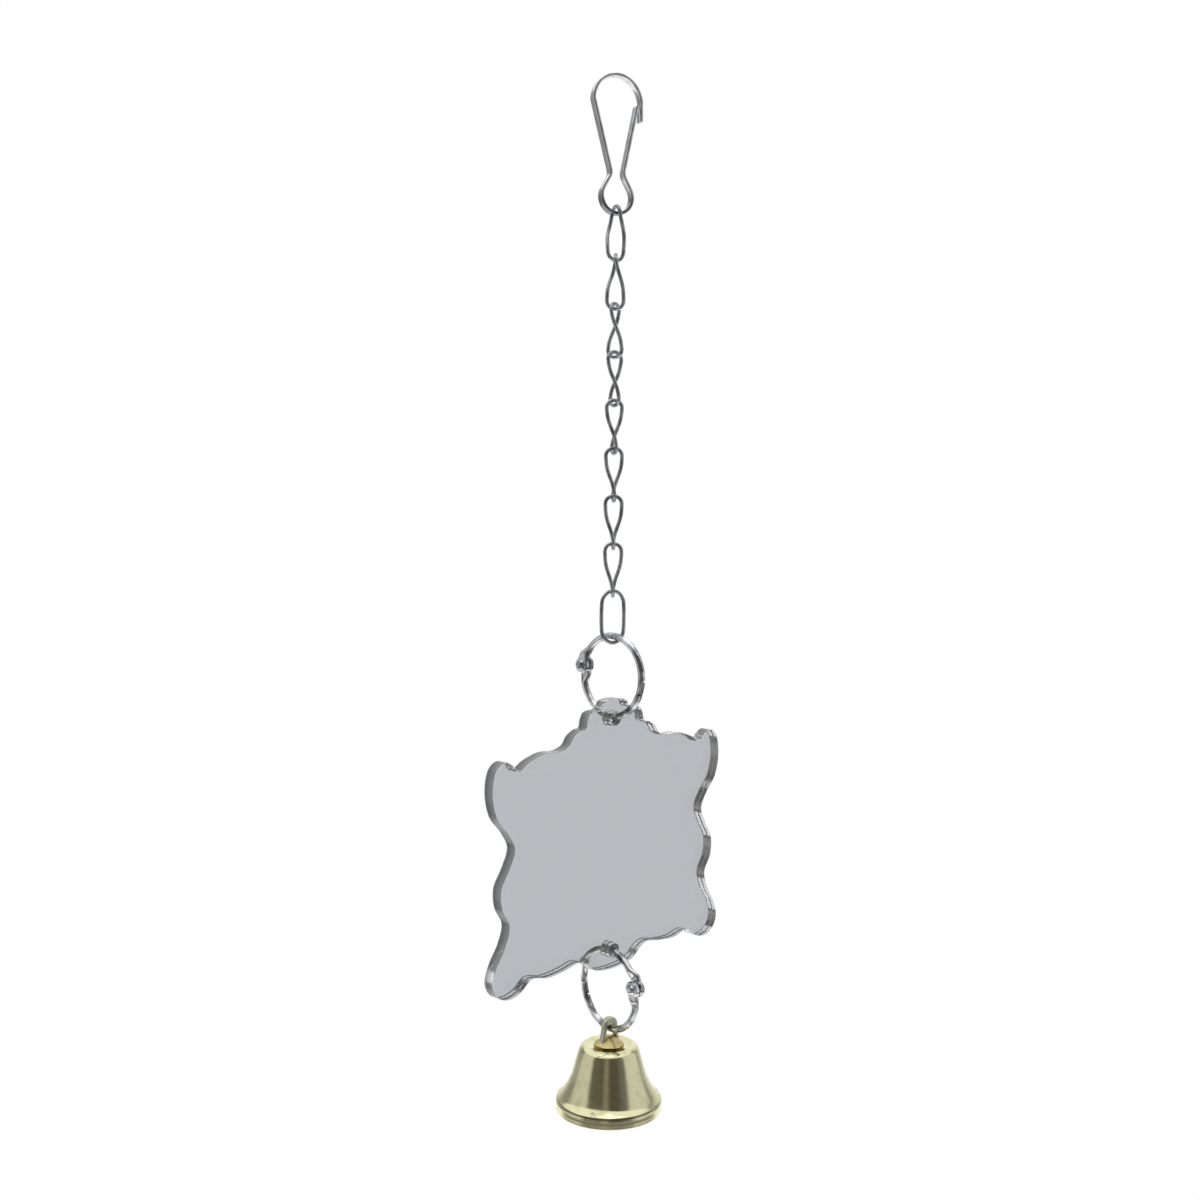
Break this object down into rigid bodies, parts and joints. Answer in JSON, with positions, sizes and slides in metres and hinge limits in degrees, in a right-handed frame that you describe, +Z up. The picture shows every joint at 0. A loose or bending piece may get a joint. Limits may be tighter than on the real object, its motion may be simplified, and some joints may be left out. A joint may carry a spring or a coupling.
{
  "type": "hanging mirror and bell bird toy",
  "caption": "Hanging bird-cage toy: a spring snap hook and a twisted-link chain carry a wavy-edged acrylic mirror on a hinged book ring, with a small brass bell on a ring below it.",
  "frame": {"origin": "the hang point: the inside top of the snap hook's loop, where a cage bar carries the toy", "axes": "+Z up along the hanging chain; the mirror lies in the XZ plane and its mirrored face looks along -Y"},
  "size_m": [0.081, 0.0268, 0.2589],
  "materials": {
    "spring_steel": "nickel plated flat spring strip",
    "nickel_steel": "nickel plated drawn wire",
    "mirror_acrylic": "polished acrylic sheet with a mirrored back",
    "brass": "pale brass plating, polished",
    "plain_steel": "dull bare steel"
  },
  "bodies": {
    "hook": {"snap_hook_body": "spring_steel"},
    "gate": {"snap_hook_gate": "spring_steel"},
    "link_1": {"twist_link_1": "nickel_steel"},
    "link_2": {"twist_link_2": "nickel_steel"},
    "link_3": {"twist_link_3": "nickel_steel"},
    "link_4": {"twist_link_4": "nickel_steel"},
    "link_5": {"twist_link_5": "nickel_steel"},
    "link_6": {"twist_link_6": "nickel_steel"},
    "link_7": {"twist_link_7": "nickel_steel"},
    "link_8": {"twist_link_8": "nickel_steel"},
    "end_link": {"end_link": "nickel_steel"},
    "upper_ring": {"upper_ring_top_half": "nickel_steel", "upper_ring_hinge_pin": "nickel_steel"},
    "upper_ring_gate": {"upper_ring_bottom_half": "nickel_steel"},
    "mirror": {"mirror_plate": "mirror_acrylic"},
    "lower_ring": {"lower_ring_top_half": "nickel_steel", "lower_ring_hinge_pin": "nickel_steel"},
    "lower_ring_gate": {"lower_ring_bottom_half": "nickel_steel"},
    "bell": {"bell_hanger": "brass", "bell_shell": "brass", "clapper_eye": "plain_steel"},
    "clapper": {"clapper_wire": "plain_steel", "clapper_ball": "plain_steel"}
  },
  "joints": [
    {"name": "gate_press", "type": "hinge", "parent": "hook", "child": "gate", "pos_m": [0.0015, -0.00055, -0.0235], "axis": [-0.342, -0.9397, 0], "range_deg": [0, 25], "stiffness_Nm_per_rad": 0.03},
    {"name": "link_1_swing", "type": "hinge", "parent": "hook", "child": "link_1", "pos_m": [0, 0, -0.033], "axis": [0.9397, -0.342, 0], "range_deg": [-90, 90]},
    {"name": "link_2_swing", "type": "hinge", "parent": "link_1", "child": "link_2", "pos_m": [0, 0, -0.04432], "axis": [0.9397, -0.342, 0], "range_deg": [-90, 90]},
    {"name": "link_3_swing", "type": "hinge", "parent": "link_2", "child": "link_3", "pos_m": [0, 0, -0.05617], "axis": [-0.7071, 0.7071, 0], "range_deg": [-90, 90]},
    {"name": "link_4_swing", "type": "hinge", "parent": "link_3", "child": "link_4", "pos_m": [0, 0, -0.06802], "axis": [0.225, -0.9744, 0], "range_deg": [-90, 90]},
    {"name": "link_5_swing", "type": "hinge", "parent": "link_4", "child": "link_5", "pos_m": [0, 0, -0.07987], "axis": [0.1908, 0.9816, 0], "range_deg": [-90, 90]},
    {"name": "link_6_swing", "type": "hinge", "parent": "link_5", "child": "link_6", "pos_m": [0, 0, -0.09172], "axis": [-0.454, -0.891, 0], "range_deg": [-90, 90]},
    {"name": "link_7_swing", "type": "hinge", "parent": "link_6", "child": "link_7", "pos_m": [0, 0, -0.10357], "axis": [0.6018, 0.7986, 0], "range_deg": [-90, 90]},
    {"name": "link_8_swing", "type": "hinge", "parent": "link_7", "child": "link_8", "pos_m": [0, 0, -0.11542], "axis": [-0.682, -0.7314, 0], "range_deg": [-90, 90]},
    {"name": "end_link_swing", "type": "hinge", "parent": "link_8", "child": "end_link", "pos_m": [0, 0, -0.12727], "axis": [0.7071, 0.7071, 0], "range_deg": [-90, 90]},
    {"name": "upper_ring_swing", "type": "hinge", "parent": "end_link", "child": "upper_ring", "pos_m": [0, 0, -0.13897], "axis": [-0.9063, 0.4226, 0], "range_deg": [-60, 60]},
    {"name": "upper_ring_open", "type": "hinge", "parent": "upper_ring", "child": "upper_ring_gate", "pos_m": [0, 0.00988, -0.14527], "axis": [1, 0, 0], "range_deg": [0, 80]},
    {"name": "mirror_swing", "type": "hinge", "parent": "upper_ring_gate", "child": "mirror", "pos_m": [0, 0, -0.15747], "axis": [0, 1, 0], "range_deg": [-75, 75]},
    {"name": "lower_ring_rock", "type": "hinge", "parent": "mirror", "child": "lower_ring", "pos_m": [0, 0, -0.21726], "axis": [-0.9962, 0.0872, 0], "range_deg": [-18, 18]},
    {"name": "lower_ring_open", "type": "hinge", "parent": "lower_ring", "child": "lower_ring_gate", "pos_m": [-0.00085, -0.00972, -0.22475], "axis": [-0.9962, 0.0872, 0], "range_deg": [0, 80]},
    {"name": "bell_swing", "type": "hinge", "parent": "lower_ring_gate", "child": "bell", "pos_m": [0, 0, -0.23746], "axis": [0.0872, 0.9962, 0], "range_deg": [-75, 75]},
    {"name": "clapper_swing", "type": "hinge", "parent": "bell", "child": "clapper", "pos_m": [0, 0, -0.24756], "axis": [0.9962, -0.0872, 0], "range_deg": [-70, 70]}
  ]
}
